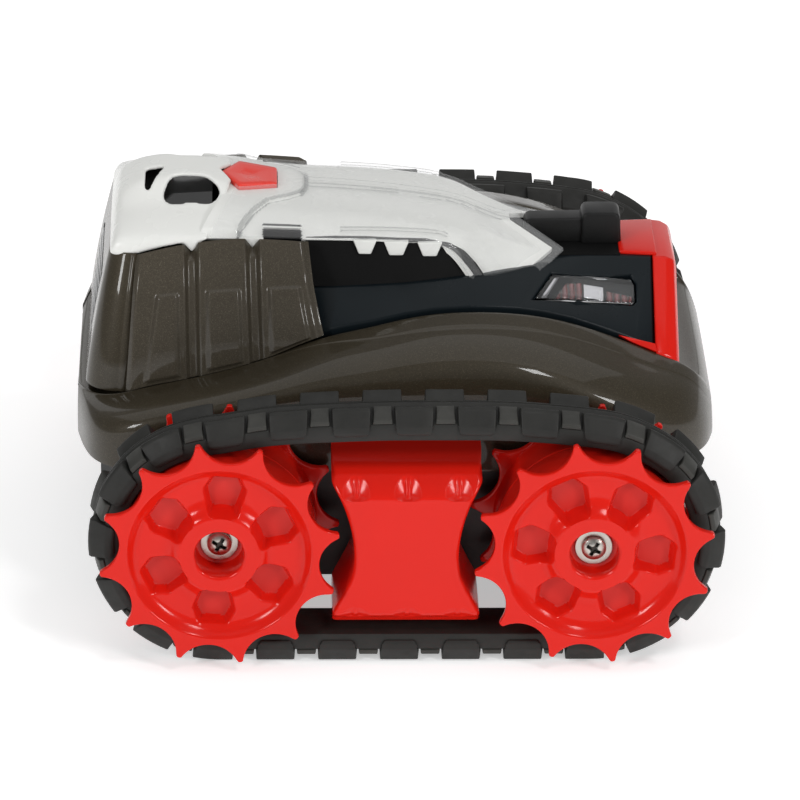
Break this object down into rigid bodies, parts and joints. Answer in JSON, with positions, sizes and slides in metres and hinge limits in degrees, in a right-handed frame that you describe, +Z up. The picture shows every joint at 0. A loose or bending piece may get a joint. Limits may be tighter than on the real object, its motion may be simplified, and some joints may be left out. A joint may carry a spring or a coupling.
{
  "type": "tracked toy vehicle",
  "caption": "Remote-control tracked toy vehicle: moulded body with clear canopy, ribbed side pods and red spool wheels inside lugged rubber tracks, driven by side motors.",
  "frame": {"origin": "middle of the footprint of the whole object, on the ground plane that the track lugs stand on", "axes": "+X forwards to the red bumper, +Y to the vehicle's left, +Z up"},
  "size_m": [0.1673, 0.1756, 0.1061],
  "materials": {
    "gunmetal": "gloss metallic-fleck gunmetal brown",
    "black_plastic": "satin black",
    "white_plastic": "satin gloss white",
    "clear_plastic": "clear polycarbonate",
    "navy_plastic": "satin very dark blue",
    "red_plastic": "gloss bright red",
    "light_unit": "translucent red over chrome",
    "track_rubber": "matt black moulded rubber",
    "steel": "zinc plated steel",
    "brass": "brass pinion on steel shaft",
    "acetal": "natural acetal",
    "cell_wrap": "plain green cell wrap",
    "pcb": "green solder mask"
  },
  "bodies": {
    "chassis": {"axle_bushes_left": "acetal", "axle_bushes_right": "acetal", "battery_cells": "cell_wrap", "battery_door": "black_plastic", "battery_tray": "black_plastic", "button_post": "black_plastic", "button_spring": "steel", "canopy_clear": "clear_plastic", "canopy_liner": "white_plastic", "chassis_screws": "steel", "circuit_board": "pcb", "cockpit_frame": "navy_plastic", "cowl_tray": "black_plastic", "fender_shell": "gunmetal", "front_bumper": "red_plastic", "gear_pins": "steel", "gearbox_bracket_left": "black_plastic", "gearbox_bracket_right": "black_plastic", "light_unit_left": "light_unit", "light_unit_right": "light_unit", "lower_chassis": "black_plastic", "motor_left": "steel", "motor_right": "steel", "nose_fin": "black_plastic", "rear_grille": "black_plastic", "rear_wall": "gunmetal", "side_pod_left": "gunmetal", "side_pod_right": "gunmetal", "switch_housing": "black_plastic", "tail_cowl": "white_plastic", "track_left": "track_rubber", "track_pod_left": "red_plastic", "track_pod_right": "red_plastic", "track_right": "track_rubber", "window_lens_left": "clear_plastic", "window_lens_right": "clear_plastic"},
    "drive_wheel_left": {"wheel_outer_rear_left": "red_plastic", "wheel_inner_rear_left": "red_plastic", "hub_screw_rear_left": "steel", "drive_axle_left": "steel", "final_gear_left": "white_plastic"},
    "idler_wheel_left": {"wheel_outer_front_left": "red_plastic", "wheel_inner_front_left": "red_plastic", "hub_screw_front_left": "steel", "idler_axle_left": "steel"},
    "compound_left": {"compound_gear_left": "white_plastic"},
    "rotor_left": {"motor_rotor_left": "brass"},
    "drive_wheel_right": {"wheel_outer_rear_right": "red_plastic", "wheel_inner_rear_right": "red_plastic", "hub_screw_rear_right": "steel", "drive_axle_right": "steel", "final_gear_right": "white_plastic"},
    "idler_wheel_right": {"wheel_outer_front_right": "red_plastic", "wheel_inner_front_right": "red_plastic", "hub_screw_front_right": "steel", "idler_axle_right": "steel"},
    "compound_right": {"compound_gear_right": "white_plastic"},
    "rotor_right": {"motor_rotor_right": "brass"},
    "button": {"press_button": "red_plastic"},
    "switch": {"switch_slider": "black_plastic"}
  },
  "joints": [
    {"name": "drive_spin_left", "type": "hinge", "parent": "chassis", "child": "drive_wheel_left", "pos_m": [-0.0462, 0, 0.0336], "axis": [0, 1, 0], "continuous": true},
    {"name": "idler_spin_left", "type": "hinge", "parent": "chassis", "child": "idler_wheel_left", "pos_m": [0.0498, 0, 0.0336], "axis": [0, 1, 0], "continuous": true},
    {"name": "compound_spin_left", "type": "hinge", "parent": "chassis", "child": "compound_left", "pos_m": [-0.027, 0, 0.0336], "axis": [0, 1, 0], "continuous": true},
    {"name": "rotor_spin_left", "type": "hinge", "parent": "chassis", "child": "rotor_left", "pos_m": [-0.0078, 0, 0.0336], "axis": [0, 1, 0], "continuous": true},
    {"name": "drive_spin_right", "type": "hinge", "parent": "chassis", "child": "drive_wheel_right", "pos_m": [-0.0462, 0, 0.0336], "axis": [0, 1, 0], "continuous": true},
    {"name": "idler_spin_right", "type": "hinge", "parent": "chassis", "child": "idler_wheel_right", "pos_m": [0.0498, 0, 0.0336], "axis": [0, 1, 0], "continuous": true},
    {"name": "compound_spin_right", "type": "hinge", "parent": "chassis", "child": "compound_right", "pos_m": [-0.027, 0, 0.0336], "axis": [0, 1, 0], "continuous": true},
    {"name": "rotor_spin_right", "type": "hinge", "parent": "chassis", "child": "rotor_right", "pos_m": [-0.0078, 0, 0.0336], "axis": [0, 1, 0], "continuous": true},
    {"name": "button_press", "type": "slide", "parent": "chassis", "child": "button", "axis": [0, 0, -1], "range_m": [0, 0.0012], "stiffness_N_per_m": 400, "springref_m": -0.001, "deforming": ["button_spring"]},
    {"name": "power_switch_slide", "type": "slide", "parent": "chassis", "child": "switch", "axis": [1, 0, 0], "range_m": [0, 0.0038]}
  ],
  "couplings": [
    {"joint": "idler_spin_left", "follows": "drive_spin_left", "ratio": 1},
    {"joint": "compound_spin_left", "follows": "drive_spin_left", "ratio": -3},
    {"joint": "rotor_spin_left", "follows": "drive_spin_left", "ratio": 9},
    {"joint": "idler_spin_right", "follows": "drive_spin_right", "ratio": 1},
    {"joint": "compound_spin_right", "follows": "drive_spin_right", "ratio": -3},
    {"joint": "rotor_spin_right", "follows": "drive_spin_right", "ratio": 9}
  ]
}
